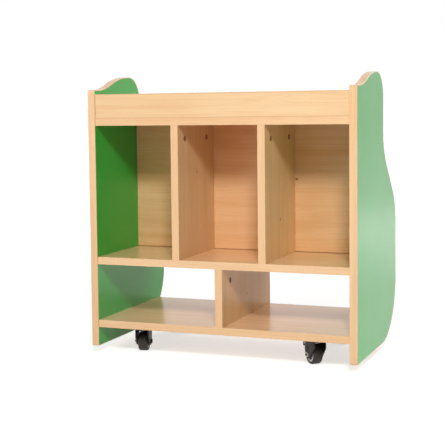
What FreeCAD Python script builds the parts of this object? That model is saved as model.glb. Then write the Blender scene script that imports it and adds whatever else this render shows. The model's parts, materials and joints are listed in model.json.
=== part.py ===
import FreeCAD, Part
import math
import os

os.makedirs("parts", exist_ok=True)

Vector = FreeCAD.Vector

# A mobile book cabinet on four casters, in millimetres. X runs across the unit, its front faces -Y, and
# Z = 0 is the floor. The origin is under the middle of the cabinet.

# Casters, from the floor up
wheel_radius = 23.0
wheel_to_crown = 9.8  # from the top of the tyre to the fork's crown
sheet = 3.0  # pressed steel of the fork and the mounting plate
race_height = 1.3  # each ball race stands this far off its sheet
race_gap = 1.6  # between the two races
trail = 18.0  # from the swivel axis to the axle
tyre_width = 24.0
tyre_wall = 5.0
tyre_shoulder = 5.0
rim_width = 22.0
rim_lip = 1.3
ring_inner_radius = 13.0
ring_thickness = 1.5
hub_boss_radius = 7.0
hub_boss_gap = 0.5  # between the hub's boss and the fork's leg
hub_round = 1.0
fork_inside_width = 29.0
fork_bend = 3.5  # inside radius of the crown's bends
crown_front = 17.0  # reach of the crown ahead of the swivel axis
crown_rear = 34.0  # reach behind it
crown_corner = 12.0
leg_shoulder_drop = 9.3  # below the crown, where the legs' front edge starts to slope
leg_heel_drop = 15.0
leg_below_axle = 8.5
leg_foot_half = 8.0
leg_corner = 8.0
plate_side = 42.0
plate_corner = 5.0
plate_hole_spacing = 32.0
race_outer_radius = 16.0
race_inner_radius = 7.0
ball_radius = 2.0
ball_circle = 11.5
ball_count = 12
ball_clearance = 0.1
kingpin_radius = 4.0
kingpin_head_radius = 7.0
kingpin_head_height = 3.5
kingpin_flange_radius = 6.0
kingpin_flange_height = 1.25
axle_radius = 3.0
axle_hex = 10.0  # across the flats of the bolt's head and the nut
axle_head_height = 3.0
axle_thread_end = 2.0  # thread past the nut
running_clearance = 0.08  # between a shaft and what turns on it
seat_clearance = 0.05  # between a shaft and what it is fixed in
end_gap = 0.3  # between faces that turn past each other

# Brake levers on the front casters
brake_offset = 11.0  # from the axle back to the lever's pin
brake_headroom = 3.8  # between the lever's hub and the crown
brake_hub_radius = 3.5
brake_pin_radius = 2.0
brake_pin_head_radius = 3.2
brake_pin_head_height = 1.5
brake_travel = 18.0  # degrees from free to pressed
brake_gap = 0.5  # left between the pressed cam and the tyre
brake_cam_radius = 2.5
brake_cam_width = 20.0
pedal_reach = 17.0  # from the pin to the pedal's rear
pedal_thickness = 3.5
pedal_drop = 9.5  # the pedal's turned-down end, below the pin
pedal_bend = 7.0  # radius of its bend
pedal_round = 1.5

# Cabinet
board = 18.0
unit_width = 660.0  # over the two side panels
panel_depth = 400.0  # side panels near the floor
upper_depth = 256.0  # side panels above the rear ledge
shelf_setback = 3.0  # of shelves and rails behind the side panels' edges
bottom_rear_setback = 45.0  # of the bottom shelf, where the panels' rear corners are round
skirt_height = 46.0  # side panels below the bottom shelf
lower_bay_height = 136.0
compartment_height = 317.0
rail_height = 57.0
ledge_rail_height = 57.0
panel_rise = 11.0  # side panels' front corner above the rails
crest_rise = 34.0  # side panels' crest above their front corner
crest_start = 146.0  # from the front edge to the end of the rise
rise_start = 50.0  # from the front edge to the start of the rise
sweep_top_drop = 65.0  # below the top shelf, where the rear edge starts to sweep out
sweep_foot_rise = 112.0  # above the middle shelf, where it reaches the full depth
foot_radius = 4.0
shoulder_radius = 5.0
rise_radius = 171.0
crest_radius = 254.0
crown_radius = 60.0
sweep_radius = 120.0
heel_radius = 150.0
back_panel_gap = 1.0  # under the back panel
caster_side_inset = 90.0  # swivel axes from the bottom shelf's ends
caster_edge_inset = 57.0  # swivel axes from its front and rear edges

# Edge bands
panel_band = 2.0
panel_band_round = 1.0
board_band = 1.0
board_band_round = 0.4

# Fittings between the boards
cam_radius = 6.0
cam_height = 12.5
cam_setback = 32.0  # from the joint to the cam's centre
cam_clearance = 0.1
cam_recess_radius = 2.4
cam_recess_depth = 3.0
cam_slot_length = 8.0
cam_slot_width = 1.4
cam_slot_depth = 1.8
cam_cavity_radius = 3.8
cap_radius = 6.7
cap_thickness = 0.6
cap_round = 0.4
cap_stub_length = 2.5
bolt_radius = 3.0
bolt_hole_radius = 4.0
bolt_neck_radius = 1.6
bolt_neck_length = 3.5
bolt_head_length = 2.5
thread_radius = 2.5
thread_length = 11.0
dowel_radius = 4.0
dowel_in_edge = 18.0
dowel_in_face = 12.0
dowel_end_gap = 0.5
dowel_chamfer = 0.8
shelf_cam_inset = 45.0
shelf_dowel_inset = 90.0
divider_cam_front = 43.0
divider_cam_rear = 49.0
lower_divider_cam_inset = 56.0
divider_dowel_inset = 30.0
back_cam_inset = 60.0
back_dowel_inset = 110.0
back_top_dowel_inset = 140.0
rail_dowel_inset = 80.0
screw_radius = 2.0
screw_hole_radius = 2.25
screw_head_radius = 4.0
screw_head_height = 2.2
screw_head_round = 1.3
screw_slot_width = 1.0
screw_slot_depth = 1.2
screw_length = 14.0  # into the bottom shelf

overcut = 1.0  # how far a cutter starts outside the face it cuts

# Heights that follow
crown_bottom = 2 * wheel_radius + wheel_to_crown
crown_top = crown_bottom + sheet
lower_race_top = crown_top + race_height
ball_height = lower_race_top + race_gap / 2
upper_race_bottom = lower_race_top + race_gap
plate_bottom = upper_race_bottom + race_height
caster_height = plate_bottom + sheet
bottom_z = caster_height
bottom_top = bottom_z + board
middle_z = bottom_top + lower_bay_height
middle_top = middle_z + board
top_z = middle_top + compartment_height
top_top = top_z + board
rail_top = top_top + rail_height
shoulder_z = rail_top + panel_rise
crest_z = shoulder_z + crest_rise
foot_z = bottom_z - skirt_height

# Places that follow
panel_outside = unit_width / 2
panel_inside = panel_outside - board
panel_front = -panel_depth / 2
panel_rear = panel_depth / 2
upper_rear = panel_front + upper_depth
shelf_front = panel_front + shelf_setback
upper_shelf_rear = upper_rear - shelf_setback
middle_rear = panel_rear - shelf_setback
bottom_rear = panel_rear - bottom_rear_setback
back_front = upper_shelf_rear - board
divider_x = (2 * panel_inside - 2 * board) / 6 + board / 2
caster_x = panel_inside - caster_side_inset
caster_front_y = shelf_front + caster_edge_inset
caster_rear_y = bottom_rear - caster_edge_inset

# Each caster's swivel axis and the way its wheel trails, in degrees from +X
casters = {
    "fl": (-caster_x, caster_front_y, 104.0),
    "fr": (caster_x, caster_front_y, 134.0),
    "rl": (-caster_x, caster_rear_y, 84.0),
    "rr": (caster_x, caster_rear_y, 112.0),
}
braked_casters = ("fl", "fr")

# Each board's lowest and highest corner, and the sides that carry an edge band
boards = {
    "top_shelf": (
        (-panel_inside, shelf_front, top_z),
        (panel_inside, upper_shelf_rear, top_top), "front rear"),
    "middle_shelf": (
        (-panel_inside, shelf_front, middle_z),
        (panel_inside, middle_rear, middle_top), "front rear"),
    "bottom_shelf": (
        (-panel_inside, shelf_front, bottom_z),
        (panel_inside, bottom_rear, bottom_top), "front rear"),
    "divider_left": (
        (-divider_x - board / 2, shelf_front, middle_top),
        (-divider_x + board / 2, back_front, top_z), "front"),
    "divider_right": (
        (divider_x - board / 2, shelf_front, middle_top),
        (divider_x + board / 2, back_front, top_z), "front"),
    "lower_divider": (
        (-board / 2, shelf_front, bottom_top),
        (board / 2, bottom_rear, middle_z), "front rear"),
    "back_panel": (
        (-panel_inside, back_front, middle_top + back_panel_gap),
        (panel_inside, upper_shelf_rear, top_z), ""),
    "bin_front_rail": (
        (-panel_inside, shelf_front, top_top),
        (panel_inside, shelf_front + board, rail_top), "top"),
    "bin_rear_rail": (
        (-panel_inside, back_front, top_top),
        (panel_inside, upper_shelf_rear, rail_top), "top"),
    "ledge_rail": (
        (-panel_inside, middle_rear - board, middle_top),
        (panel_inside, middle_rear, middle_top + ledge_rail_height), "top"),
}

left = Vector(-1, 0, 0)
right = Vector(1, 0, 0)
front = Vector(0, -1, 0)
rear = Vector(0, 1, 0)
down = Vector(0, 0, -1)
up = Vector(0, 0, 1)

cuts = {name: [] for name in list(boards) + ["side_panel_left", "side_panel_right"]}
cams = []
bolts = []
caps = []
dowels = []


def save(name, shape):
    """Write one sub-part."""
    shape.exportStep("parts/" + name + ".step")


def rod(start, direction, first, last, radius):
    """A cylinder on the line from start, between two distances along direction."""
    return Part.makeCylinder(radius, last - first, start + direction * first, direction)


def tube(start, direction, first, last, inner, outer):
    """A hollow cylinder on the same terms as rod."""
    return rod(start, direction, first, last, outer).cut(rod(start, direction, first, last, inner))


def block(low, high):
    """A box between two corners."""
    size = Vector(*high) - Vector(*low)
    return Part.makeBox(size.x, size.y, size.z, Vector(*low))


def spread(first, last, inset, count):
    """Evenly spaced places between two ends, inset from both."""
    step = (last - first - 2 * inset) / (count - 1)
    return [first + inset + step * i for i in range(count)]


def outline(corners, place):
    """A closed wire through corners (a, b, radius); place turns (a, b) into a point."""
    points = [place(a, b) for a, b, radius in corners]
    count = len(points)
    lengths = [points[i].distanceToPoint(points[(i + 1) % count]) for i in range(count)]
    backs = [(points[i - 1] - points[i]).normalize() for i in range(count)]
    halves = [backs[i].getAngle(backs[(i + 1) % count] * -1) / 2 for i in range(count)]
    reaches = [corners[i][2] / math.tan(halves[i]) for i in range(count)]
    # Neighbouring arcs share an edge that is too short for both
    needs = [max(reaches[i] + reaches[(i + 1) % count], 0.001) for i in range(count)]
    shares = [min(1.0, 0.98 * lengths[i] / needs[i]) for i in range(count)]
    reaches = [reaches[i] * min(shares[i], shares[i - 1]) for i in range(count)]
    edges = []
    for i in range(count):
        ahead = backs[(i + 1) % count] * -1
        start = points[i] + backs[i] * reaches[i]
        end = points[i] + ahead * reaches[i]
        if reaches[i] > 0:
            bisector = (backs[i] + ahead).normalize()
            radius = reaches[i] * math.tan(halves[i])
            middle = points[i] + bisector * (radius / math.sin(halves[i]) - radius)
            edges.append(Part.Arc(start, middle, end).toShape())
        after = (i + 1) % count
        edges.append(Part.makeLine(end, points[after] + backs[after] * reaches[after]))
    return Part.Wire(edges)


def on_plane(edge, point, normal, distance):
    """Whether an edge lies in the plane at a distance from a point along a normal."""
    heights = [(vertex.Point - point).dot(normal) for vertex in edge.Vertexes]
    middle = edge.valueAt((edge.FirstParameter + edge.LastParameter) / 2)
    heights.append((middle - point).dot(normal))
    return all(abs(height - distance) < 0.001 for height in heights)


def hexagon(centre, flats, height):
    """A six-sided prism along +Y, standing on centre, with its flats a given width apart."""
    corner = flats / math.sqrt(3)
    angles = [math.radians(60 * i) for i in range(7)]
    points = [centre + Vector(corner * math.cos(angle), 0, corner * math.sin(angle)) for angle in angles]
    return Part.Face(Part.makePolygon(points)).extrude(rear * height)


def bar(centre, along, across, length, width, sweep):
    """A bar of length by width, centred on a point and swept along a vector."""
    a = along * (length / 2)
    b = across * (width / 2)
    corners = [centre + a + b, centre - a + b, centre - a - b, centre + a - b]
    return Part.Face(Part.makePolygon(corners + corners[:1])).extrude(sweep)


def cam_joint(holder, mate, joint, into, face, capped):
    """A cam lock in the holder's face, whose bolt is screwed into the mate at the joint."""
    centre = joint + into * cam_setback
    surface = centre + face * (board / 2)
    inward = face * -1
    side = into.cross(face)
    bore_depth = cam_height + cam_clearance
    thread_depth = thread_length + dowel_end_gap
    cuts[holder].append(rod(surface, inward, -overcut, bore_depth, cam_radius + cam_clearance))
    cuts[holder].append(rod(joint, into, -overcut, cam_setback, bolt_hole_radius))
    cuts[mate].append(rod(joint, into, -thread_depth, overcut, thread_radius + seat_clearance))
    cam = rod(surface, inward, 0, cam_height, cam_radius)
    cam = cam.cut(rod(surface, inward, -overcut, cam_recess_depth, cam_recess_radius))
    for along, across in ((into, side), (side, into)):
        cam = cam.cut(bar(surface, along, across, cam_slot_length, cam_slot_width, inward * cam_slot_depth))
    cavity = rod(centre, into, -cam_radius - overcut, bolt_head_length, cam_cavity_radius)
    cams.append(cam.cut(cavity))
    neck = cam_setback - bolt_neck_length - bolt_head_length / 2
    bolt = rod(joint, into, -thread_length, 0, thread_radius)
    bolt = bolt.fuse(rod(joint, into, 0, neck, bolt_radius))
    bolt = bolt.fuse(rod(joint, into, neck, neck + bolt_neck_length, bolt_neck_radius))
    head = neck + bolt_neck_length
    bolts.append(bolt.fuse(rod(joint, into, head, head + bolt_head_length, bolt_radius)))
    if capped:
        disc = rod(surface, face, 0, cap_thickness, cap_radius)
        rim = [edge for edge in disc.Edges if on_plane(edge, surface, face, cap_thickness)]
        disc = disc.makeFillet(cap_round, rim)
        caps.append(disc.fuse(rod(surface, inward, 0, cap_stub_length, cam_recess_radius - cam_clearance)))


def dowel_joint(holder, mate, joint, into):
    """A wood dowel between the holder's edge and the mate's face."""
    hole = dowel_radius + seat_clearance
    cuts[holder].append(rod(joint, into, -overcut, dowel_in_edge + dowel_end_gap, hole))
    cuts[mate].append(rod(joint, into, -dowel_in_face - dowel_end_gap, overcut, hole))
    dowel = rod(joint, into, -dowel_in_face, dowel_in_edge, dowel_radius)
    ends = [edge for edge in dowel.Edges if on_plane(edge, joint, into, -dowel_in_face)
            or on_plane(edge, joint, into, dowel_in_edge)]
    dowels.append(dowel.makeChamfer(dowel_chamfer, ends))


def middle_of(name):
    """The middle of a board."""
    low, high, sides = boards[name]
    return (Vector(*low) + Vector(*high)) * 0.5


def join_ends(name, face, capped, cam_places, dowel_places, point):
    """Join a board's two ends to the side panels; point(x, place) gives a place on an end."""
    ends = ((-panel_inside, "side_panel_left", right), (panel_inside, "side_panel_right", left))
    for x, panel, into in ends:
        for place in cam_places:
            cam_joint(name, panel, point(x, place), into, face, capped)
        for place in dowel_places:
            dowel_joint(name, panel, point(x, place), into)


def join_shelves():
    """Cams under both ends of each shelf, with dowels between them."""
    for name in ("top_shelf", "middle_shelf", "bottom_shelf"):
        low, high, sides = boards[name]
        cam_places = spread(low[1], high[1], shelf_cam_inset, 2)
        dowel_places = spread(low[1], high[1], shelf_dowel_inset, 2)
        level = middle_of(name).z
        join_ends(name, down, False, cam_places, dowel_places, lambda x, y: Vector(x, y, level))


def join_back_panel():
    """Cams on the rear face at both ends, and dowels up into the top shelf."""
    low, high, sides = boards["back_panel"]
    y = middle_of("back_panel").y
    cam_places = spread(low[2], high[2], back_cam_inset, 2)
    dowel_places = spread(low[2], high[2], back_dowel_inset, 2)
    join_ends("back_panel", rear, True, cam_places, dowel_places, lambda x, z: Vector(x, y, z))
    for x in spread(low[0], high[0], back_top_dowel_inset, 2):
        dowel_joint("back_panel", "top_shelf", Vector(x, y, top_z), down)


def join_rails():
    """One cam at each end of a rail, and dowels down into the shelf under it."""
    for name, shelf, face in (("bin_front_rail", "top_shelf", rear), ("bin_rear_rail", "top_shelf", front),
                              ("ledge_rail", "middle_shelf", front)):
        low, high, sides = boards[name]
        centre = middle_of(name)
        join_ends(name, face, True, [centre.z], [], lambda x, z: Vector(x, centre.y, z))
        for x in spread(low[0], high[0], rail_dowel_inset, 3):
            dowel_joint(name, shelf, Vector(x, centre.y, low[2]), up)


def join_dividers():
    """Cams at the head of each divider and dowels at its foot."""
    upper_insets = (divider_cam_front, divider_cam_rear)
    lower_insets = (lower_divider_cam_inset, lower_divider_cam_inset)
    for name, above, below, (cam_front, cam_rear) in (
            ("divider_left", "top_shelf", "middle_shelf", upper_insets),
            ("divider_right", "top_shelf", "middle_shelf", upper_insets),
            ("lower_divider", "middle_shelf", "bottom_shelf", lower_insets)):
        low, high, sides = boards[name]
        x = middle_of(name).x
        for y in (low[1] + cam_front, high[1] - cam_rear):
            cam_joint(name, above, Vector(x, y, high[2]), down, right, True)
        dowel_joint(name, above, Vector(x, middle_of(name).y, high[2]), down)
        for y in spread(low[1], high[1], divider_dowel_inset, 2):
            dowel_joint(name, below, Vector(x, y, low[2]), up)


def screw_places():
    """The holes of every caster's plate, at the plate's face."""
    half = plate_hole_spacing / 2
    places = []
    for x, y, heading in casters.values():
        places += [Vector(x + dx, y + dy, plate_bottom) for dx in (-half, half) for dy in (-half, half)]
    return places


def caster_screw(place):
    """A pan-head screw through the plate into the bottom shelf."""
    head = rod(place, down, 0, screw_head_height, screw_head_radius)
    rim = [edge for edge in head.Edges if on_plane(edge, place, down, screw_head_height)]
    head = head.makeFillet(screw_head_round, rim)
    crown = place + down * screw_head_height
    for along, across in ((right, rear), (rear, right)):
        head = head.cut(bar(crown, along, across, screw_head_radius, screw_slot_width, up * screw_slot_depth))
    return head.fuse(rod(place, up, 0, sheet + screw_length, screw_radius))


def band_sides(low, high, sides):
    """The core of a board and the strips of edge band glued on it."""
    low = list(low)
    high = list(high)
    strips = []
    for side in sides.split():
        strip_low = list(low)
        strip_high = list(high)
        if side == "front":
            strip_high[1] = low[1] = low[1] + board_band
            normal = front
        elif side == "rear":
            strip_low[1] = high[1] = high[1] - board_band
            normal = rear
        else:
            strip_low[2] = high[2] = high[2] - board_band
            normal = up
        strip = block(strip_low, strip_high)
        outer = (Vector(*strip_low) + Vector(*strip_high)) * 0.5 + normal * (board_band / 2)
        face_edges = [edge for edge in strip.Edges if on_plane(edge, outer, normal, 0)]
        long_edges = [edge for edge in face_edges if edge.Length > board]
        strips.append(strip.makeFillet(board_band_round, long_edges))
    return block(low, high), strips


def side_panel(sign):
    """A side panel's board and the edge band round it, on the side that sign gives."""
    corners = [
        (panel_front, foot_z, foot_radius),
        (panel_front, shoulder_z, shoulder_radius),
        (panel_front + rise_start, shoulder_z, rise_radius),
        (panel_front + crest_start, crest_z, crest_radius),
        (upper_rear, crest_z, crown_radius),
        (upper_rear, top_z - sweep_top_drop, sweep_radius),
        (panel_rear, middle_top + sweep_foot_rise, sweep_radius),
        (panel_rear, foot_z, heel_radius),
    ]
    inner_x = sign * panel_inside
    whole = Part.Face(outline(corners, lambda y, z: Vector(inner_x, y, z)))
    core = whole.makeOffset2D(-panel_band)
    ring = whole.cut(core).extrude(right * (sign * board))
    long_edges = []
    for distance in (0, board):
        for face in ring.Faces:
            if all(on_plane(edge, Vector(inner_x, 0, 0), right * sign, distance) for edge in face.Edges):
                long_edges += face.OuterWire.Edges
    return core.extrude(right * (sign * board)), ring.makeFillet(panel_band_round, long_edges)


def caster_plate():
    """The square mounting plate with the upper ball race."""
    half = plate_side / 2
    corners = [(x, y, plate_corner) for x, y in ((-half, -half), (half, -half), (half, half), (-half, half))]
    base = Vector(0, 0, plate_bottom)
    plate = Part.Face(outline(corners, lambda x, y: Vector(x, y, plate_bottom))).extrude(up * sheet)
    plate = plate.fuse(rod(base, down, 0, race_height, race_outer_radius))
    plate = plate.cut(rod(base, down, 0, race_height + overcut, race_inner_radius))
    plate = plate.cut(Part.makeTorus(ball_circle, ball_radius + ball_clearance, Vector(0, 0, ball_height)))
    plate = plate.cut(rod(base, up, -overcut, sheet + overcut, kingpin_radius + seat_clearance))
    flange_radius = kingpin_flange_radius + seat_clearance
    plate = plate.cut(rod(base, up, sheet - kingpin_flange_height, sheet + overcut, flange_radius))
    spacing = plate_hole_spacing / 2
    for x in (-spacing, spacing):
        for y in (-spacing, spacing):
            place = Vector(x, y, plate_bottom)
            plate = plate.cut(rod(place, up, -overcut, sheet + overcut, screw_hole_radius))
    return plate


def kingpin():
    """The rivet that hangs the fork under the plate."""
    top = Vector(0, 0, caster_height)
    head_top = caster_height - crown_bottom + end_gap
    pin = rod(top, down, 0, kingpin_flange_height, kingpin_flange_radius)
    pin = pin.fuse(rod(top, down, 0, head_top, kingpin_radius))
    head = rod(top, down, head_top, head_top + kingpin_head_height, kingpin_head_radius)
    rim = [edge for edge in head.Edges if on_plane(edge, top, down, head_top + kingpin_head_height)]
    return pin.fuse(head.makeFillet(kingpin_head_height / 2, rim))


def bearing_balls():
    """The ring of balls between the races."""
    balls = []
    for i in range(ball_count):
        angle = math.tau * i / ball_count
        centre = Vector(ball_circle * math.cos(angle), ball_circle * math.sin(angle), ball_height)
        balls.append(Part.makeSphere(ball_radius, centre))
    return Part.makeCompound(balls)


def fork(braked):
    """The pressed fork: a crown with the lower ball race, and two legs down to the axle."""
    inside = fork_inside_width / 2
    outside = inside + sheet
    section = [(-outside, 0, 0), (-outside, crown_top, fork_bend + sheet),
               (outside, crown_top, fork_bend + sheet), (outside, 0, 0),
               (inside, 0, 0), (inside, crown_bottom, fork_bend),
               (-inside, crown_bottom, fork_bend), (-inside, 0, 0)]
    profile = Part.Face(outline(section, lambda y, z: Vector(-crown_front, y, z)))
    channel = profile.extrude(right * (crown_front + crown_rear))
    foot = wheel_radius - leg_below_axle
    side = [(-crown_front, crown_top, 0), (-crown_front, crown_top - leg_shoulder_drop, leg_corner),
            (trail - leg_foot_half, foot, leg_corner), (trail + leg_foot_half, foot, leg_corner),
            (crown_rear, crown_top - leg_heel_drop, leg_corner / 2), (crown_rear, crown_top, 0)]
    legs = Part.Face(outline(side, lambda x, z: Vector(x, -outside, z))).extrude(rear * (2 * outside))
    plan = [(-crown_front, -outside, crown_corner), (crown_rear, -outside, fork_bend),
            (crown_rear, outside, fork_bend), (-crown_front, outside, crown_corner)]
    crown = Part.Face(outline(plan, lambda x, y: Vector(x, y, 0))).extrude(up * crown_top)
    body = channel.common(legs).common(crown)
    body = body.fuse(rod(Vector(0, 0, crown_top), up, 0, race_height, race_outer_radius))
    body = body.cut(rod(Vector(0, 0, crown_top), up, 0, race_height + overcut, race_inner_radius))
    body = body.cut(Part.makeTorus(ball_circle, ball_radius + ball_clearance, Vector(0, 0, ball_height)))
    pin_hole = kingpin_radius + running_clearance
    body = body.cut(rod(Vector(0, 0, crown_bottom), up, -overcut, sheet + overcut, pin_hole))
    across = outside + overcut
    body = body.cut(rod(axle_centre(), rear, -across, across, axle_radius + seat_clearance))
    if braked:
        body = body.cut(rod(brake_centre(), rear, -across, across, brake_pin_radius + seat_clearance))
    return body


def axle_centre():
    """Where the axle crosses the caster's middle plane."""
    return Vector(trail, 0, wheel_radius)


def brake_centre():
    """Where the brake lever's pin crosses the caster's middle plane."""
    return Vector(trail + brake_offset, 0, crown_bottom - brake_headroom - brake_hub_radius)


def axle_bolt():
    """The bolt with its hexagon head against one leg of the fork."""
    leg = fork_inside_width / 2 + sheet
    end = leg + axle_head_height + axle_thread_end
    head = hexagon(axle_centre() + front * (leg + axle_head_height), axle_hex, axle_head_height)
    shaft = rod(axle_centre(), rear, -leg, end, axle_radius)
    tip = [edge for edge in shaft.Edges if on_plane(edge, axle_centre(), rear, end)]
    return head.fuse(shaft.makeChamfer(axle_thread_end / 2, tip))


def axle_nut():
    """The nut against the fork's other leg."""
    leg = fork_inside_width / 2 + sheet
    nut = hexagon(axle_centre() + rear * leg, axle_hex, axle_head_height)
    return nut.cut(rod(axle_centre(), rear, 0, leg + 2 * axle_head_height, axle_radius + seat_clearance))


def turned(profile):
    """A solid of revolution about the axle; profile holds (radius, distance across, corner radius)."""
    centre = axle_centre()
    face = Part.Face(outline(profile, lambda r, y: Vector(centre.x + r, y, centre.z)))
    return face.revolve(centre, rear, 360)


def wheel_hub():
    """The hub with its boss, its flat sides and a lip round the rim."""
    rim = wheel_radius - tyre_wall
    bore = axle_radius + running_clearance
    boss = fork_inside_width / 2 - hub_boss_gap
    lip = rim_width / 2
    side = lip - ring_thickness
    half = [(bore, boss, 0), (hub_boss_radius, boss, hub_round), (hub_boss_radius, side, hub_round),
            (rim - rim_lip, side, 0), (rim - rim_lip, lip, 0), (rim, lip, 0)]
    return turned(half + [(r, -y, corner) for r, y, corner in reversed(half)])


def wheel_tyre():
    """The tyre, with round shoulders."""
    seat = wheel_radius - tyre_wall + seat_clearance
    half = tyre_width / 2
    return turned([(seat, -half, 0), (wheel_radius, -half, tyre_shoulder),
                   (wheel_radius, half, tyre_shoulder), (seat, half, 0)])


def wheel_rings():
    """The pale ring let into each side of the hub."""
    outer = wheel_radius - tyre_wall - rim_lip - seat_clearance
    seat = rim_width / 2 - ring_thickness
    rings = [tube(axle_centre(), side, seat, seat + ring_thickness, ring_inner_radius, outer)
             for side in (front, rear)]
    return Part.makeCompound(rings)


def brake_cam_length():
    """From the pin to the cam's round tip, so that the pressed cam stops short of the tyre."""
    arm = brake_centre() - axle_centre()
    pressed = math.radians(brake_travel)
    along = arm.x * math.sin(pressed) + arm.z * math.cos(pressed)
    stop = wheel_radius + brake_gap + brake_cam_radius
    return along - math.sqrt(along ** 2 - arm.Length ** 2 + stop ** 2)


def brake_half_width():
    """Half the lever's width, where the ends of its hub clear the crown's bends by the end gap."""
    bend_depth = max(fork_bend - brake_headroom, 0)
    bend_reach = math.sqrt((fork_bend - end_gap) ** 2 - bend_depth ** 2)
    return fork_inside_width / 2 - fork_bend + bend_reach


def brake_lever():
    """The lever: a hub on the pin, a pedal behind the fork and a cam over the tyre."""
    centre = brake_centre()
    half = brake_half_width()
    top = centre.z + pedal_thickness
    tip = centre.x + pedal_reach
    under = top - pedal_thickness
    inner = tip - pedal_thickness
    end = centre.z - pedal_drop
    pedal = [(centre.x, top, 0), (tip, top, pedal_bend), (tip, end, pedal_round), (inner, end, pedal_round),
             (inner, under, pedal_bend - pedal_thickness), (centre.x, under, 0)]
    lever = Part.Face(outline(pedal, lambda x, z: Vector(x, -half, z))).extrude(rear * (2 * half))
    lever = lever.fuse(rod(centre, rear, -half, half, brake_hub_radius))
    reach = brake_cam_length()
    cam_half = brake_cam_width / 2
    lever = lever.fuse(block((centre.x - brake_cam_radius, -cam_half, centre.z - reach),
                             (centre.x + brake_cam_radius, cam_half, centre.z)))
    lever = lever.fuse(rod(centre + down * reach, rear, -cam_half, cam_half, brake_cam_radius))
    bore = rod(centre, rear, -half - overcut, half + overcut, brake_pin_radius + running_clearance)
    return lever.removeSplitter().cut(bore)


def brake_pin():
    """The rivet through the fork's legs that the lever turns on."""
    leg = fork_inside_width / 2 + sheet
    pin = rod(brake_centre(), rear, -leg, leg, brake_pin_radius)
    for side in (front, rear):
        head = rod(brake_centre(), side, leg, leg + brake_pin_head_height, brake_pin_head_radius)
        end = leg + brake_pin_head_height
        rim = [edge for edge in head.Edges if on_plane(edge, brake_centre(), side, end)]
        pin = pin.fuse(head.makeFillet(brake_pin_head_height / 2, rim))
    return pin


def stand(shape, tag):
    """Turn a caster's piece to its heading and set it on its swivel axis."""
    x, y, heading = casters[tag]
    placed = shape.copy()
    placed.rotate(Vector(0, 0, 0), up, heading)
    placed.translate(Vector(x, y, 0))
    return placed


def build_casters():
    """All four casters; the plates stay square to the cabinet."""
    turning = {
        "kingpin": kingpin(),
        "bearing_balls": bearing_balls(),
        "axle_bolt": axle_bolt(),
        "axle_nut": axle_nut(),
        "wheel_hub": wheel_hub(),
        "wheel_tyre": wheel_tyre(),
        "wheel_rings": wheel_rings(),
    }
    for tag, (x, y, heading) in casters.items():
        plate = caster_plate()
        plate.translate(Vector(x, y, 0))
        save("caster_plate_" + tag, plate)
        save("fork_" + tag, stand(fork(tag in braked_casters), tag))
        for name, shape in turning.items():
            save(name + "_" + tag, stand(shape, tag))
    for tag in braked_casters:
        save("brake_lever_" + tag, stand(brake_lever(), tag))
        save("brake_pin_" + tag, stand(brake_pin(), tag))


def build_cabinet():
    """The boards with their bores, the edge bands and the fittings."""
    join_shelves()
    join_back_panel()
    join_rails()
    join_dividers()
    screws = screw_places()
    pilot_end = sheet + screw_length + dowel_end_gap
    pilot_radius = screw_radius + seat_clearance
    cuts["bottom_shelf"] += [rod(place, up, sheet - overcut, pilot_end, pilot_radius) for place in screws]
    strips = []
    for name, (low, high, sides) in boards.items():
        core, bands = band_sides(low, high, sides)
        save(name, core.cut(cuts[name]))
        strips += bands
    for name, sign in (("left", -1), ("right", 1)):
        core, band = side_panel(sign)
        save("side_panel_" + name, core.cut(cuts["side_panel_" + name]))
        save("side_edging_" + name, band)
    save("board_edgings", Part.makeCompound(strips))
    save("cam_locks", Part.makeCompound(cams))
    save("cam_bolts", Part.makeCompound(bolts))
    save("cam_caps", Part.makeCompound(caps))
    save("wood_dowels", Part.makeCompound(dowels))
    save("caster_screws", Part.makeCompound([caster_screw(place) for place in screws]))


build_cabinet()
build_casters()
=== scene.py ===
import json
import math
import bpy
from mathutils import Matrix, Vector


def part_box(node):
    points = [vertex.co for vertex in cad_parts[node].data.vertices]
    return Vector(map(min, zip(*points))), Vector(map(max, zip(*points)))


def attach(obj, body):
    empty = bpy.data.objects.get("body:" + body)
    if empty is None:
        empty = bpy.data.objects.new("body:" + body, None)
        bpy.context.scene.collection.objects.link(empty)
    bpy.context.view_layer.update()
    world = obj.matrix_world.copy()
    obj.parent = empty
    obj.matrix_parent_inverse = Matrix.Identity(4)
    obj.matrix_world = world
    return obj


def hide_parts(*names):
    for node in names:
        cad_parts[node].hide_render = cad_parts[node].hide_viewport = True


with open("model.json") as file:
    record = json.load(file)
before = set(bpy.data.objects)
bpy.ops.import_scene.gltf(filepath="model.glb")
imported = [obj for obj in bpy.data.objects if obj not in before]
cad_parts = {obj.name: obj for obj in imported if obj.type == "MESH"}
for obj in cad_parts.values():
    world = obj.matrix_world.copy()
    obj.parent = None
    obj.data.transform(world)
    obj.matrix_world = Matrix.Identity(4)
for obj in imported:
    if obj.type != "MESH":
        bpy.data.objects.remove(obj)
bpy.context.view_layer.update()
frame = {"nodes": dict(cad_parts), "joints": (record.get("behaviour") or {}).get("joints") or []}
nodes = frame["nodes"]
joints = {joint["name"]: joint for joint in frame["joints"]}
casterTags = ("fl", "fr", "rl", "rr")
brakedTags = ("fl", "fr")
print("frame loaded:", len(nodes), "nodes")


def paint(red, green, blue):  # linear colour of a screen colour from 0 to 255
    channels = [value / 255 for value in (red, green, blue)]
    return tuple(value / 12.92 if value <= 0.04045 else ((value + 0.055) / 1.055) ** 2.4
                 for value in channels) + (1.0,)


def addNode(tree, kind, **settings):
    node = tree.nodes.new(kind)
    for name, value in settings.items():
        setattr(node, name, value)
    return node


def plug(tree, source, target):
    tree.links.new(source, target)


def fill(tree, socket, value):  # a socket takes a fixed value or a link
    if isinstance(value, (int, float, tuple)):
        socket.default_value = value
    else:
        plug(tree, value, socket)


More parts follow.
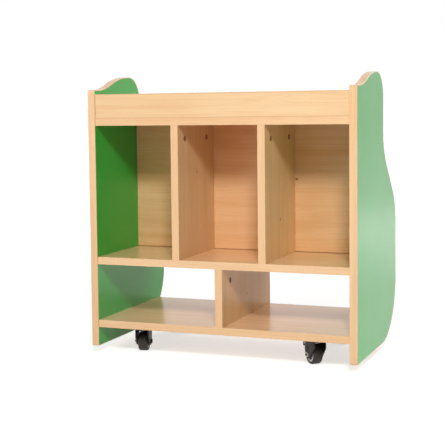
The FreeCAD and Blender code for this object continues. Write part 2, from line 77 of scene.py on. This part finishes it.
def calculate(tree, operation, *inputs, clamp=False):
    node = addNode(tree, "ShaderNodeMath", operation=operation, use_clamp=clamp)
    for socket, value in zip(node.inputs, inputs):
        fill(tree, socket, value)
    return node.outputs[0]


def combine(tree, operation, first, second):  # of two vectors
    node = addNode(tree, "ShaderNodeVectorMath", operation=operation)
    fill(tree, node.inputs[0], first)
    fill(tree, node.inputs[1], second)
    return node.outputs[0]


def stretch(tree, vector, scale):
    return combine(tree, "MULTIPLY", vector, scale)


def measure(tree, vector):  # a vector's length
    node = addNode(tree, "ShaderNodeVectorMath", operation="LENGTH")
    plug(tree, vector, node.inputs[0])
    return node.outputs["Value"]


def noise(tree, vector, scale=1.0, detail=2.0, roughness=0.5):
    node = addNode(tree, "ShaderNodeTexNoise")
    plug(tree, vector, node.inputs["Vector"])
    fill(tree, node.inputs["Scale"], scale)
    node.inputs["Detail"].default_value = detail
    node.inputs["Roughness"].default_value = roughness
    return node.outputs


def ramp(tree, value, low, high):
    node = addNode(tree, "ShaderNodeMapRange", interpolation_type="SMOOTHSTEP")
    plug(tree, value, node.inputs["Value"])
    node.inputs["From Min"].default_value = low
    node.inputs["From Max"].default_value = high
    return node.outputs["Result"]


def blendColours(tree, factor, first, second, mode="MIX"):
    node = addNode(tree, "ShaderNodeMix", data_type="RGBA", blend_type=mode)
    # sockets 0, 6 and 7 of a Mix node are the factor and the two colours
    for socket, value in ((node.inputs[0], factor), (node.inputs[6], first), (node.inputs[7], second)):
        fill(tree, socket, value)
    return node.outputs[2]


def newGroup(name, inputs, outputs):
    tree = bpy.data.node_groups.new(name, "ShaderNodeTree")
    for socketName, kind in inputs:
        tree.interface.new_socket(socketName, in_out="INPUT", socket_type=kind)
    for socketName, kind in outputs:
        tree.interface.new_socket(socketName, in_out="OUTPUT", socket_type=kind)
    return tree, addNode(tree, "NodeGroupInput").outputs, addNode(tree, "NodeGroupOutput").inputs


def placeGroup(tree, group, **values):
    node = addNode(tree, "ShaderNodeGroup", node_tree=group)
    for name, value in values.items():
        fill(tree, node.inputs[name], value)
    return node.outputs


grainLook = {  # spreads are noise cells per metre along the grain and across it
    "swaySpread": (1.6, 7.0, 7.0),
    "swayReach": (0.0, 0.035, 0.035),  # how far the lines wander, in metres
    "poreSpread": (5.0, 520.0, 520.0),
    "poreRange": (0.42, 0.74),
    "poreShare": 0.34,  # how much of the brown each layer brings
    "bandSpread": (1.1, 62.0, 62.0),
    "bandRange": (0.36, 0.70),
    "bandShare": 0.26,
    "archSpread": (1.7, 22.0, 22.0),
    "archWave": {"Scale": 1.0, "Distortion": 9.0, "Detail": 1.0, "Detail Scale": 0.5},
    "archPower": 2.2,
    "fleckSpread": (150.0, 1500.0, 1500.0),
    "fleckRange": (0.60, 0.72),
    "fleckShare": 0.16,
    "patchSpread": (2.5, 6.0, 6.0),
    "patchRange": (0.35, 0.65),
    "patchShare": 0.20,
    "roughShare": 0.09,
    "poreDepth": 0.7,
    "bandDepth": 0.3,
}


# Beech grain along X: sway, fine pores, broad bands, faint arches, flecks and patches
def makeWoodGrain():
    tree, given, result = newGroup(
        "woodGrain",
        [("Vector", "NodeSocketVector"), ("Pale", "NodeSocketColor"), ("Brown", "NodeSocketColor"),
         ("Figure", "NodeSocketFloat")],
        [("Color", "NodeSocketColor"), ("Rough", "NodeSocketFloat"), ("Height", "NodeSocketFloat")])
    look = grainLook
    along = given["Vector"]
    sway = noise(tree, stretch(tree, along, look["swaySpread"]), detail=2.0)["Color"]
    sway = stretch(tree, combine(tree, "SUBTRACT", sway, (0.5, 0.5, 0.5)), look["swayReach"])
    lines = combine(tree, "ADD", along, sway)
    pores = noise(tree, stretch(tree, lines, look["poreSpread"]), detail=3.0, roughness=0.6)["Fac"]
    bands = noise(tree, stretch(tree, lines, look["bandSpread"]), detail=4.0, roughness=0.55)["Fac"]
    arches = addNode(tree, "ShaderNodeTexWave", wave_type="BANDS", bands_direction="Y")
    plug(tree, stretch(tree, lines, look["archSpread"]), arches.inputs["Vector"])
    for name, value in look["archWave"].items():
        arches.inputs[name].default_value = value
    flecks = noise(tree, stretch(tree, lines, look["fleckSpread"]), detail=1.0)["Fac"]
    patches = noise(tree, stretch(tree, along, look["patchSpread"]), detail=1.0)["Fac"]
    patch = ramp(tree, patches, *look["patchRange"])
    brown = calculate(tree, "MULTIPLY", ramp(tree, pores, *look["poreRange"]), look["poreShare"])
    for mask, share in ((ramp(tree, bands, *look["bandRange"]), look["bandShare"]),
                        (ramp(tree, flecks, *look["fleckRange"]), look["fleckShare"]),
                        (patch, look["patchShare"])):
        brown = calculate(tree, "MULTIPLY_ADD", mask, share, brown)
    arch = calculate(tree, "POWER", arches.outputs["Fac"], look["archPower"])
    figure = calculate(tree, "MULTIPLY", arch, patch)
    brown = calculate(tree, "MULTIPLY_ADD", figure, given["Figure"], brown, clamp=True)
    plug(tree, blendColours(tree, brown, given["Pale"], given["Brown"]), result["Color"])
    plug(tree, calculate(tree, "MULTIPLY", brown, look["roughShare"]), result["Rough"])
    height = calculate(tree, "MULTIPLY", pores, look["poreDepth"])
    plug(tree, calculate(tree, "MULTIPLY_ADD", bands, look["bandDepth"], height), result["Height"])
    return tree


rubLook = {"speckle": 60.0, "speckleRange": (0.45, 0.68)}


# A mask along the edges of a box, from the second smallest distance to its faces; its Edge output carries
# painted shade along the joints, its Worn output the rubbed roughness
def makeEdgeShadeAndRub():
    tree, given, result = newGroup(
        "edgeShadeAndRub",
        [("Vector", "NodeSocketVector"), ("Low", "NodeSocketVector"), ("High", "NodeSocketVector"),
         ("Width", "NodeSocketFloat")],
        [("Edge", "NodeSocketFloat"), ("Worn", "NodeSocketFloat")])
    above = combine(tree, "SUBTRACT", given["Vector"], given["Low"])
    below = combine(tree, "SUBTRACT", given["High"], given["Vector"])
    split = addNode(tree, "ShaderNodeSeparateXYZ")
    plug(tree, combine(tree, "MINIMUM", above, below), split.inputs[0])
    across, deep, up = split.outputs
    second = calculate(tree, "MINIMUM", calculate(tree, "MAXIMUM", across, deep), up)
    second = calculate(tree, "MAXIMUM", calculate(tree, "MINIMUM", across, deep), second)
    inward = calculate(tree, "DIVIDE", second, given["Width"], clamp=True)
    edge = calculate(tree, "SUBTRACT", 1.0, inward)
    speckle = noise(tree, given["Vector"], scale=rubLook["speckle"], detail=4.0)["Fac"]
    plug(tree, edge, result["Edge"])
    worn = calculate(tree, "MULTIPLY", edge, ramp(tree, speckle, *rubLook["speckleRange"]))
    plug(tree, worn, result["Worn"])
    return tree


knotLook = {
    "squash": (0.85, 1.0, 1.0),  # along the grain and across it
    "ragged": 320.0,
    "raggedReach": 0.003,
    "coreRange": (0.55, 1.1),  # in shares of the knot's size
    "haloRange": (0.8, 3.2),
    "coreShare": 0.85,
    "haloShare": 0.35,
}


# A pin knot with a soft halo, a little longer with the grain
def makeKnot():
    tree, given, result = newGroup(
        "knot",
        [("Vector", "NodeSocketVector"), ("Centre", "NodeSocketVector"), ("Size", "NodeSocketFloat")],
        [("Core", "NodeSocketFloat"), ("Halo", "NodeSocketFloat")])
    offset = combine(tree, "SUBTRACT", given["Vector"], given["Centre"])
    reach = measure(tree, stretch(tree, offset, knotLook["squash"]))
    ragged = noise(tree, given["Vector"], scale=knotLook["ragged"], detail=2.0)["Fac"]
    shift = calculate(tree, "MULTIPLY", calculate(tree, "SUBTRACT", ragged, 0.5), knotLook["raggedReach"])
    share = calculate(tree, "DIVIDE", calculate(tree, "ADD", reach, shift), given["Size"])
    for part, key in (("Core", "coreRange"), ("Halo", "haloRange")):
        plug(tree, calculate(tree, "SUBTRACT", 1.0, ramp(tree, share, *knotLook[key])), result[part])
    return tree


handlingLook = {
    "smearSpread": (9.0, 9.0, 14.0),
    "scratchSpread": (25.0, 900.0, 60.0),
    "scratchRange": (0.70, 0.78),
}


# Smears, fine unevenness and hair scratches of a surface in use
def makeHandling():
    tree, given, result = newGroup(
        "handling",
        [("Vector", "NodeSocketVector"), ("Grain", "NodeSocketFloat")],
        [("Smear", "NodeSocketFloat"), ("Height", "NodeSocketFloat"), ("Scratch", "NodeSocketFloat")])
    place = given["Vector"]
    smear = noise(tree, stretch(tree, place, handlingLook["smearSpread"]), detail=4.0)["Fac"]
    pebble = noise(tree, place, scale=given["Grain"], detail=2.0)["Fac"]
    hair = noise(tree, stretch(tree, place, handlingLook["scratchSpread"]), detail=2.0)["Fac"]
    plug(tree, smear, result["Smear"])
    plug(tree, pebble, result["Height"])
    plug(tree, ramp(tree, hair, *handlingLook["scratchRange"]), result["Scratch"])
    return tree


woodGrain = makeWoodGrain()
edgeShadeAndRub = makeEdgeShadeAndRub()
knotMark = makeKnot()
handling = makeHandling()
print("shared effects made")


def startMaterial(name):
    material = bpy.data.materials.new(name)
    material.use_nodes = True
    tree = material.node_tree
    place = addNode(tree, "ShaderNodeTexCoord").outputs["Object"]
    return material, tree, tree.nodes["Principled BSDF"], place


def addBump(tree, shader, height, strength, distance):
    node = addNode(tree, "ShaderNodeBump")
    node.inputs["Strength"].default_value = strength
    node.inputs["Distance"].default_value = distance
    plug(tree, height, node.inputs["Height"])
    plug(tree, node.outputs["Normal"], shader.inputs["Normal"])


beech = {
    "pale": (254, 217, 170),
    "brown": (234, 182, 128),
    "knot": (112, 64, 38),
    "seamAndJointShade": (150, 100, 62),  # glue line at the edge band, and painted shade in the joints: the face darkens towards every edge of its box, also where it meets other boards
    "seamAndJointShadeWidth": 0.0016,
    "seamAndJointShadeShare": 0.42,
    "rubWidth": 0.006,
    "rubRough": 0.15,  # added where the edges are rubbed
    "roughness": 0.13,
    "smearGrain": 700.0,
    "smearRough": 0.12,
    "bump": (0.06, 0.0003),  # strength and depth in metres
    "axisOrder": {"X": (0, 1, 2), "Y": (1, 2, 0), "Z": (2, 0, 1)},
    "seedStep": (0.731, 1.137, 0.519),  # each board shows a stretch of its own
}


def turnGrain(tree, place, axis):  # the object's coordinates with the grain laid along X
    split = addNode(tree, "ShaderNodeSeparateXYZ")
    plug(tree, place, split.inputs[0])
    joined = addNode(tree, "ShaderNodeCombineXYZ")
    for target, source in zip(joined.inputs, beech["axisOrder"][axis]):
        plug(tree, split.outputs[source], target)
    return joined.outputs[0]


def beechMaterial(name, axis, seed, figure, toneAndShade, gloss=1.36, box=None, knots=()):
    material, tree, shader, place = startMaterial(name)
    straight = turnGrain(tree, place, axis)
    moved = combine(tree, "ADD", straight, tuple(seed * step for step in beech["seedStep"]))
    grain = placeGroup(tree, woodGrain, Vector=moved, Pale=paint(*beech["pale"]),
                       Brown=paint(*beech["brown"]), Figure=figure)
    # the tint multiplies the grain's colour; where it is below 1 it is painted shade
    colour = blendColours(tree, 1.0, grain["Color"], toneAndShade + (1.0,), mode="MULTIPLY")
    for centre, size in knots:
        turned = tuple(centre[i] for i in beech["axisOrder"][axis])
        mark = placeGroup(tree, knotMark, Vector=straight, Centre=turned, Size=size)
        halo = calculate(tree, "MULTIPLY", mark["Halo"], knotLook["haloShare"])
        core = calculate(tree, "MULTIPLY", mark["Core"], knotLook["coreShare"])
        colour = blendColours(tree, halo, colour, paint(*beech["brown"]))
        colour = blendColours(tree, core, colour, paint(*beech["knot"]))
    smear = placeGroup(tree, handling, Vector=place, Grain=beech["smearGrain"])["Smear"]
    rough = calculate(tree, "ADD", grain["Rough"], beech["roughness"])
    rough = calculate(tree, "MULTIPLY_ADD", smear, beech["smearRough"], rough)
    if box:
        low, high = (tuple(corner) for corner in box)
        # painted shade and glue line: the face turns brown towards every edge of its box
        seamAndJointShade = placeGroup(tree, edgeShadeAndRub, Vector=place, Low=low, High=high, Width=beech["seamAndJointShadeWidth"])
        seamAndJointShade = calculate(tree, "MULTIPLY", seamAndJointShade["Edge"], beech["seamAndJointShadeShare"])
        colour = blendColours(tree, seamAndJointShade, colour, paint(*beech["seamAndJointShade"]))
        rub = placeGroup(tree, edgeShadeAndRub, Vector=place, Low=low, High=high, Width=beech["rubWidth"])
        rough = calculate(tree, "MULTIPLY_ADD", rub["Worn"], beech["rubRough"], rough)
    plug(tree, colour, shader.inputs["Base Color"])
    plug(tree, rough, shader.inputs["Roughness"])
    shader.inputs["IOR"].default_value = gloss
    addBump(tree, shader, grain["Height"], *beech["bump"])
    return material


greenBoard = {
    "deep": (48, 174, 62),
    "fresh": (56, 184, 69),
    "cloud": 3.0,  # cells per metre of the slow change between the two
    "cloudRange": (0.3, 0.7),
    "fleck": (84, 194, 90),
    "fleckCells": 420.0,
    "fleckRange": (0.55, 0.75),
    "fleckShare": 0.20,
    "scratch": (150, 205, 150),
    "scratchShare": 0.10,
    "roughness": 0.15,
    "smearGrain": 520.0,
    "smearRough": 0.16,
    "gloss": 1.45,
    "sheen": (0.97, 1.0, 0.66),  # tint of its reflections
    "bump": (0.07, 0.0002),
}


def greenMaterial(name):
    material, tree, shader, place = startMaterial(name)
    touch = placeGroup(tree, handling, Vector=place, Grain=greenBoard["smearGrain"])
    cloud = noise(tree, place, scale=greenBoard["cloud"], detail=3.0)["Fac"]
    fleck = noise(tree, place, scale=greenBoard["fleckCells"], detail=1.0)["Fac"]
    colour = blendColours(tree, ramp(tree, cloud, *greenBoard["cloudRange"]), paint(*greenBoard["deep"]),
                          paint(*greenBoard["fresh"]))
    for mask, share, key in (
            (ramp(tree, fleck, *greenBoard["fleckRange"]), greenBoard["fleckShare"], "fleck"),
            (touch["Scratch"], greenBoard["scratchShare"], "scratch")):
        cover = calculate(tree, "MULTIPLY", mask, share)
        colour = blendColours(tree, cover, colour, paint(*greenBoard[key]))
    rough = calculate(tree, "MULTIPLY_ADD", touch["Smear"], greenBoard["smearRough"],
                      greenBoard["roughness"])
    plug(tree, colour, shader.inputs["Base Color"])
    plug(tree, rough, shader.inputs["Roughness"])
    shader.inputs["IOR"].default_value = greenBoard["gloss"]
    shader.inputs["Specular Tint"].default_value = greenBoard["sheen"] + (1.0,)
    addBump(tree, shader, touch["Height"], *greenBoard["bump"])
    return material


finishes = {  # colour, colour where it is touched, roughness, cells per metre of its unevenness
    "castZinc": dict(colour=(165, 165, 163), touched=(190, 190, 188), roughness=0.42, grain=900.0,
                     metal=1.0),
    "platedSteel": dict(colour=(150, 150, 150), touched=(178, 178, 178), roughness=0.34, grain=1200.0,
                        metal=1.0),
    "zincPlatedSteel": dict(colour=(214, 213, 208), touched=(228, 227, 222), roughness=0.42,
                            grain=1200.0, metal=0.6),
    "blackPaintedSteel": dict(colour=(15, 12, 11), touched=(30, 25, 23), roughness=0.48, grain=700.0),
    "blackMoulding": dict(colour=(17, 14, 13), touched=(32, 28, 26), roughness=0.50, grain=800.0),
    "blackOxideSteel": dict(colour=(38, 34, 32), touched=(60, 56, 54), roughness=0.45, grain=1200.0,
                            metal=1.0),
    "blackRubber": dict(colour=(34, 28, 27), touched=(56, 48, 45), roughness=0.62, grain=600.0,
                        bump=0.25),
    "greyMoulding": dict(colour=(222, 219, 215), touched=(236, 233, 229), roughness=0.40, grain=800.0),
    "brownMoulding": dict(colour=(128, 84, 52), touched=(150, 104, 68), roughness=0.50, grain=900.0,
                          gloss=1.28),
}
finishWear = {
    "touchRange": (0.45, 0.75),
    "scratchShare": 0.35,
    "smearRough": 0.2,  # half of it is taken off the roughness first
    "bumpDepth": 0.0003,
}


# Moulded plastic, rubber, paint or plated steel: two close colours with fine unevenness
def mouldedMaterial(name, colour, touched, roughness, grain, metal=0.0, bump=0.12, gloss=1.5):
    material, tree, shader, place = startMaterial(name)
    touch = placeGroup(tree, handling, Vector=place, Grain=grain)
    dust = ramp(tree, touch["Smear"], *finishWear["touchRange"])
    scratch = calculate(tree, "MULTIPLY", touch["Scratch"], finishWear["scratchShare"])
    mixed = blendColours(tree, dust, paint(*colour), paint(*touched))
    mixed = blendColours(tree, scratch, mixed, paint(*touched))
    smooth = roughness - finishWear["smearRough"] / 2
    rough = calculate(tree, "MULTIPLY_ADD", touch["Smear"], finishWear["smearRough"], smooth)
    plug(tree, mixed, shader.inputs["Base Color"])
    plug(tree, rough, shader.inputs["Roughness"])
    shader.inputs["Metallic"].default_value = metal
    shader.inputs["IOR"].default_value = gloss
    addBump(tree, shader, touch["Height"], bump, finishWear["bumpDepth"])
    return material


def dress(node, *materials):
    slots = nodes[node].data.materials
    slots.clear()
    for material in materials:
        slots.append(material)


boards = {  # grain direction, seed, figure, tint and gloss of each board; the tints below 1 of the dividers and the back panel are painted shade, darker and warmer copies of one beech for the shade inside the compartments
    "top_shelf": ("X", 1.0, 0.16, (1.0, 1.0, 1.0), 1.36),
    "middle_shelf": ("X", 2.0, 0.12, (1.0, 1.0, 1.0), 1.36),
    "bottom_shelf": ("X", 3.0, 0.06, (1.0, 1.0, 1.0), 1.42),
    "divider_left": ("Z", 4.0, 0.10, (0.75, 0.77, 0.73), 1.32),
    "divider_right": ("Z", 5.0, 0.10, (0.98, 0.91, 0.86), 1.32),
    "lower_divider": ("Z", 6.0, 0.08, (0.77, 0.69, 0.50), 1.24),
    "back_panel": ("X", 7.0, 0.50, (0.94, 0.88, 0.82), 1.36),
    "bin_front_rail": ("X", 8.0, 0.14, (1.0, 1.0, 1.0), 1.36),
    "bin_rear_rail": ("X", 9.0, 0.14, (1.0, 1.0, 1.0), 1.36),
    "ledge_rail": ("X", 10.0, 0.14, (1.0, 1.0, 1.0), 1.36),
}
boardKnots = {  # where a face shows a pin knot, and its size, in metres
    "divider_left": (((-0.098, -0.078, 0.440), 0.0028),),
    "divider_right": (((0.116, -0.085, 0.330), 0.0028),),
    "back_panel": (((0.1200, 0.035, 0.418), 0.0030),),
    "lower_divider": (((0.009, -0.020, 0.137), 0.0028),),
}
edgeBand = {"toneAndShade": (1.0, 0.96, 0.95), "figure": 0.05}  # the dowels have the same look


def bandMaterial(name, axis, seed):
    return beechMaterial(name, axis, seed, edgeBand["figure"], edgeBand["toneAndShade"])


def dressBoards():
    for board, (axis, seed, figure, toneAndShade, gloss) in boards.items():
        dress(board, beechMaterial("beech_" + board, axis, seed, figure, toneAndShade, gloss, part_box(board),
                                   boardKnots.get(board, ())))
    dress("board_edgings", bandMaterial("beechBandAlong", "X", 11.0),
          bandMaterial("beechBandUpright", "Z", 12.0))
    bottom, middle, top = (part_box(name) for name in ("bottom_shelf", "middle_shelf", "top_shelf"))
    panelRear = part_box("back_panel")[1].y
    for face in nodes["board_edgings"].data.polygons:  # the dividers' bands have upright grain
        level = face.center.z
        between = bottom[1].z < level < middle[0].z or middle[1].z < level < top[0].z
        onLedge = face.center.y > panelRear and level > middle[1].z
        face.material_index = 1 if between and not onLedge else 0
    panelBand = bandMaterial("beechBandPanel", "Z", 13.0)
    green = greenMaterial("greenLaminate")
    for side in ("left", "right"):
        dress("side_edging_" + side, panelBand)
        dress("side_panel_" + side, green)
    dress("wood_dowels", bandMaterial("dowelBeech", "X", 14.0))


dressBoards()
print("boards dressed")

finish = {name: mouldedMaterial(name, **look) for name, look in finishes.items()}
fittings = {
    "cam_locks": "castZinc",
    "cam_bolts": "platedSteel",
    "cam_caps": "brownMoulding",
    "caster_screws": "platedSteel",
}
casterParts = {
    "caster_plate": "blackPaintedSteel",
    "kingpin": "platedSteel",
    "bearing_balls": "platedSteel",
    "fork": "blackPaintedSteel",
    "axle_bolt": "blackOxideSteel",
    "axle_nut": "zincPlatedSteel",
    "wheel_hub": "blackMoulding",
    "wheel_tyre": "blackRubber",
    "wheel_rings": "greyMoulding",
}
brakeParts = {
    "brake_lever": "blackMoulding",
    "brake_pin": "platedSteel",
}
for name, look in fittings.items():
    dress(name, finish[look])
for parts, tags in ((casterParts, casterTags), (brakeParts, brakedTags)):
    for name, look in parts.items():
        for tag in tags:
            dress(name + "_" + tag, finish[look])
print("fittings dressed")

mergeDistance = 0.00001  # vertices closer than this, in metres, are one
smoothAngle = 30.0  # degrees up to which two faces are shaded as one surface


def deselectAll():
    if bpy.context.object and bpy.context.object.mode != "OBJECT":
        bpy.ops.object.mode_set(mode="OBJECT")
    bpy.ops.object.select_all(action="DESELECT")


def activate(piece):
    deselectAll()
    piece.select_set(True)
    bpy.context.view_layer.objects.active = piece


def pick(piece, kind, test):  # in edit mode, select the vertices, edges or faces that pass a test
    bpy.ops.object.mode_set(mode="EDIT")
    bpy.ops.mesh.select_mode(type=kind)
    bpy.ops.mesh.select_all(action="DESELECT")
    bpy.ops.object.mode_set(mode="OBJECT")
    group = {"VERT": piece.data.vertices, "EDGE": piece.data.edges, "FACE": piece.data.polygons}[kind]
    group.foreach_set("select", [test(item) for item in group])
    bpy.ops.object.mode_set(mode="EDIT")


def mergeDoubles():  # in edit mode
    bpy.ops.mesh.select_all(action="SELECT")
    bpy.ops.mesh.remove_doubles(threshold=mergeDistance)


def finishPiece(piece, body, node, material):
    activate(piece)
    bpy.ops.object.mode_set(mode="EDIT")
    mergeDoubles()
    bpy.ops.mesh.normals_make_consistent(inside=False)
    bpy.ops.object.mode_set(mode="OBJECT")
    bpy.ops.object.shade_smooth_by_angle(angle=math.radians(smoothAngle))
    piece.data.materials.clear()
    piece.data.materials.append(material)
    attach(piece, body)
    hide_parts(node)


tyre = {
    "sides": 128,
    "endFacing": 0.9,  # faces whose normal has more of the axle's direction are the two ends
    "treadShare": 0.99,  # what lies beyond this share of the radius is on the tread
    "shoulder": 0.0045,
    "shoulderSteps": 8,
    "ridgeFoot": 0.0009,  # half width of the mould line's foot on the tread
    "ridgeTop": 0.0004,
    "ridgeRise": 0.00018,
}


def measureWheel(tag):  # inner radius, outer radius and half width of a tyre about its axle
    joint = joints["wheel_spin_" + tag]
    centre, axle = Vector(joint["pos_m"]), Vector(joint["axis"])
    offsets = [vertex.co - centre for vertex in nodes["wheel_tyre_" + tag].data.vertices]
    reaches = [(offset - axle * offset.dot(axle)).length for offset in offsets]
    return min(reaches), max(reaches), max(abs(offset.dot(axle)) for offset in offsets)


# A tube along Z with rounded shoulders and a fine mould line round the tread
def makeTyre(seat, outer, half):
    deselectAll()
    bpy.ops.mesh.primitive_cylinder_add(vertices=tyre["sides"], radius=outer, depth=2 * half)
    piece = bpy.context.object
    rim = outer * tyre["treadShare"]
    pick(piece, "FACE", lambda face: abs(face.normal.z) > tyre["endFacing"])
    bpy.ops.mesh.inset(thickness=outer - seat)
    bpy.ops.mesh.delete(type="FACE")
    pick(piece, "VERT", lambda vertex: vertex.co.xy.length < (seat + outer) / 2)
    bpy.ops.mesh.select_mode(type="EDGE")
    bpy.ops.mesh.bridge_edge_loops()
    ends = piece.data.vertices
    pick(piece, "EDGE", lambda edge: all(ends[i].co.xy.length > rim for i in edge.vertices)
         and ends[edge.vertices[0]].co.z * ends[edge.vertices[1]].co.z > 0)
    bpy.ops.mesh.bevel(offset=tyre["shoulder"], segments=tyre["shoulderSteps"])
    for level in (-tyre["ridgeFoot"], -tyre["ridgeTop"], tyre["ridgeTop"], tyre["ridgeFoot"]):
        bpy.ops.mesh.select_all(action="SELECT")
        bpy.ops.mesh.bisect(plane_co=(0, 0, level), plane_no=(0, 0, 1))
    limit = (tyre["ridgeTop"] + tyre["ridgeFoot"]) / 2
    pick(piece, "VERT", lambda vertex: abs(vertex.co.z) < limit and vertex.co.xy.length > rim)
    swell = 1 + tyre["ridgeRise"] / outer
    bpy.ops.transform.resize(value=(swell, swell, 1))
    bpy.ops.object.mode_set(mode="OBJECT")
    return piece


def copyPiece(source, name):
    piece = source.copy()
    piece.data = source.data.copy()
    piece.name = name
    bpy.context.collection.objects.link(piece)
    return piece


def fitTyres():
    master = makeTyre(*measureWheel(casterTags[0]))
    for tag in casterTags:
        piece = copyPiece(master, "moulded_tyre_" + tag)
        joint = joints["wheel_spin_" + tag]
        turn = Vector((0, 0, 1)).rotation_difference(Vector(joint["axis"])).to_matrix().to_4x4()
        piece.matrix_world = Matrix.Translation(Vector(joint["pos_m"])) @ turn
        activate(piece)
        bpy.ops.object.transform_apply(location=True, rotation=True, scale=True)
        finishPiece(piece, "wheel_" + tag, "wheel_tyre_" + tag, finish["blackRubber"])
    bpy.data.objects.remove(master)


fitTyres()
print("tyres fitted")

pressings = {  # bevel width in metres, body, slot and finish of the parts that get soft edges
    "fork": (0.0005, "swivel_", "black_steel", "blackPaintedSteel"),
    "brake_lever": (0.0006, "brake_", "black_plastic", "blackMoulding"),
}
softEdge = {"steps": 2, "flatAngle": 1.0, "sharpAngle": 35.0}  # angles in degrees


def softenPart(name, tag):  # a copy of a CAD node with its sharp edges broken
    width, body, slotName, look = pressings[name]
    piece = copyPiece(nodes[name + "_" + tag], "soft_" + name + "_" + tag)
    piece.parent = None
    activate(piece)
    bpy.ops.object.mode_set(mode="EDIT")
    mergeDoubles()
    bpy.ops.mesh.dissolve_limited(angle_limit=math.radians(softEdge["flatAngle"]))
    bpy.ops.object.mode_set(mode="OBJECT")
    bevel = piece.modifiers.new("softEdges", "BEVEL")
    bevel.width = width
    bevel.segments = softEdge["steps"]
    bevel.limit_method = "ANGLE"
    bevel.angle_limit = math.radians(softEdge["sharpAngle"])
    bpy.ops.object.modifier_apply(modifier=bevel.name)
    finishPiece(piece, body + tag, name + "_" + tag, finish[look])


for tag in casterTags:
    softenPart("fork", tag)
for tag in brakedTags:
    softenPart("brake_lever", tag)
print("pressed parts softened")

studio = {
    "keyPlace": (1.2, -2.95, 2.28),
    "keySize": 0.6,
    "keyPower": 72.0,
    "fillPlace": (-1.6, -2.9, 1.75),
    "fillSize": 1.2,
    "fillPower": 20.5,
    "rearPlace": (2.0, 2.8, 2.2),
    "rearSize": 3.0,
    "rearPower": 62.0,
    "sidePlace": (-3.1, 0.5, 1.5),
    "sideSize": 1.6,
    "sidePower": 15.0,
    "aim": (0.0, 0.0, 0.35),
    "skyLight": 0.15,  # what the world adds to matt surfaces
    "white": 1.0,  # what the camera and reflections see of the backdrop
    "nearGlow": 0.62,  # the floor's own light under the object, where it shows the shadow
    "nearReach": 0.9,
    "farReach": 2.6,
    "floorColour": (232, 232, 232),
    "floorRoughness": 0.9,
    "floorSize": 40.0,
}


def seenDirectly(tree):  # 1 for the camera, reflections and glass, 0 for what lights matt surfaces
    path = addNode(tree, "ShaderNodeLightPath").outputs
    seen = calculate(tree, "MAXIMUM", path["Is Camera Ray"], path["Is Glossy Ray"])
    return calculate(tree, "MAXIMUM", seen, path["Is Transmission Ray"])


def makeFloor():
    deselectAll()
    bpy.ops.mesh.primitive_plane_add(size=studio["floorSize"], location=(0, 0, 0))
    floor = bpy.context.object
    floor.name = "studioFloor"
    material, tree, shader, place = startMaterial("floorPaper")
    shader.inputs["Base Color"].default_value = paint(*studio["floorColour"])
    shader.inputs["Roughness"].default_value = studio["floorRoughness"]
    shader.inputs["Specular IOR Level"].default_value = 0.0
    far = ramp(tree, measure(tree, place), studio["nearReach"], studio["farReach"])
    rise = studio["white"] - studio["nearGlow"]
    glow = calculate(tree, "MULTIPLY_ADD", far, rise, studio["nearGlow"])
    white = addNode(tree, "ShaderNodeEmission")
    plug(tree, calculate(tree, "MULTIPLY", seenDirectly(tree), glow), white.inputs["Strength"])
    both = addNode(tree, "ShaderNodeAddShader")
    plug(tree, shader.outputs[0], both.inputs[0])
    plug(tree, white.outputs[0], both.inputs[1])
    plug(tree, both.outputs[0], tree.nodes["Material Output"].inputs["Surface"])
    floor.data.materials.append(material)


def addLamp(name):
    place = Vector(studio[name + "Place"])
    deselectAll()
    bpy.ops.object.light_add(type="AREA", location=place)
    lamp = bpy.context.object
    lamp.name = name + "Lamp"
    lamp.data.shape = "DISK"
    lamp.data.size = studio[name + "Size"]
    lamp.data.energy = studio[name + "Power"]
    lamp.rotation_euler = (Vector(studio["aim"]) - place).to_track_quat("-Z", "Y").to_euler()


def makeSky():
    world = bpy.data.worlds.new("studioSky")
    world.use_nodes = True
    bpy.context.scene.world = world
    tree = world.node_tree
    sky = tree.nodes["Background"].inputs
    sky["Color"].default_value = (1.0, 1.0, 1.0, 1.0)
    gain = studio["white"] - studio["skyLight"]
    strength = calculate(tree, "MULTIPLY_ADD", seenDirectly(tree), gain, studio["skyLight"])
    plug(tree, strength, sky["Strength"])


makeFloor()
for name in ("key", "fill", "rear", "side"):
    addLamp(name)
makeSky()
bpy.context.scene.view_settings.view_transform = "Standard"
print("studio lit")

camera = {
    "place": (0.9264, -2.5970, 0.5910),
    "turn": 22.328,  # degrees from straight on, towards the cabinet's left
    "tilt": -4.257,
    "roll": -0.699,
    "lens": 90.23,
    "sensor": 36.0,
    "shift": (0.0661, -0.0676),
    "clipEnd": 100.0,
}


def makeCamera():
    deselectAll()
    bpy.ops.object.camera_add(location=camera["place"])
    eye = bpy.context.object
    eye.name = "viewCamera"
    eye.data.sensor_width = camera["sensor"]
    eye.data.lens = camera["lens"]
    eye.data.shift_x, eye.data.shift_y = camera["shift"]
    eye.data.clip_end = camera["clipEnd"]
    turn = Matrix.Rotation(math.radians(camera["turn"]), 4, "Z")
    tilt = Matrix.Rotation(math.radians(90 + camera["tilt"]), 4, "X")
    roll = Matrix.Rotation(math.radians(camera["roll"]), 4, "Z")
    eye.matrix_world = Matrix.Translation(camera["place"]) @ turn @ tilt @ roll
    bpy.context.scene.camera = eye


makeCamera()
print("camera set")
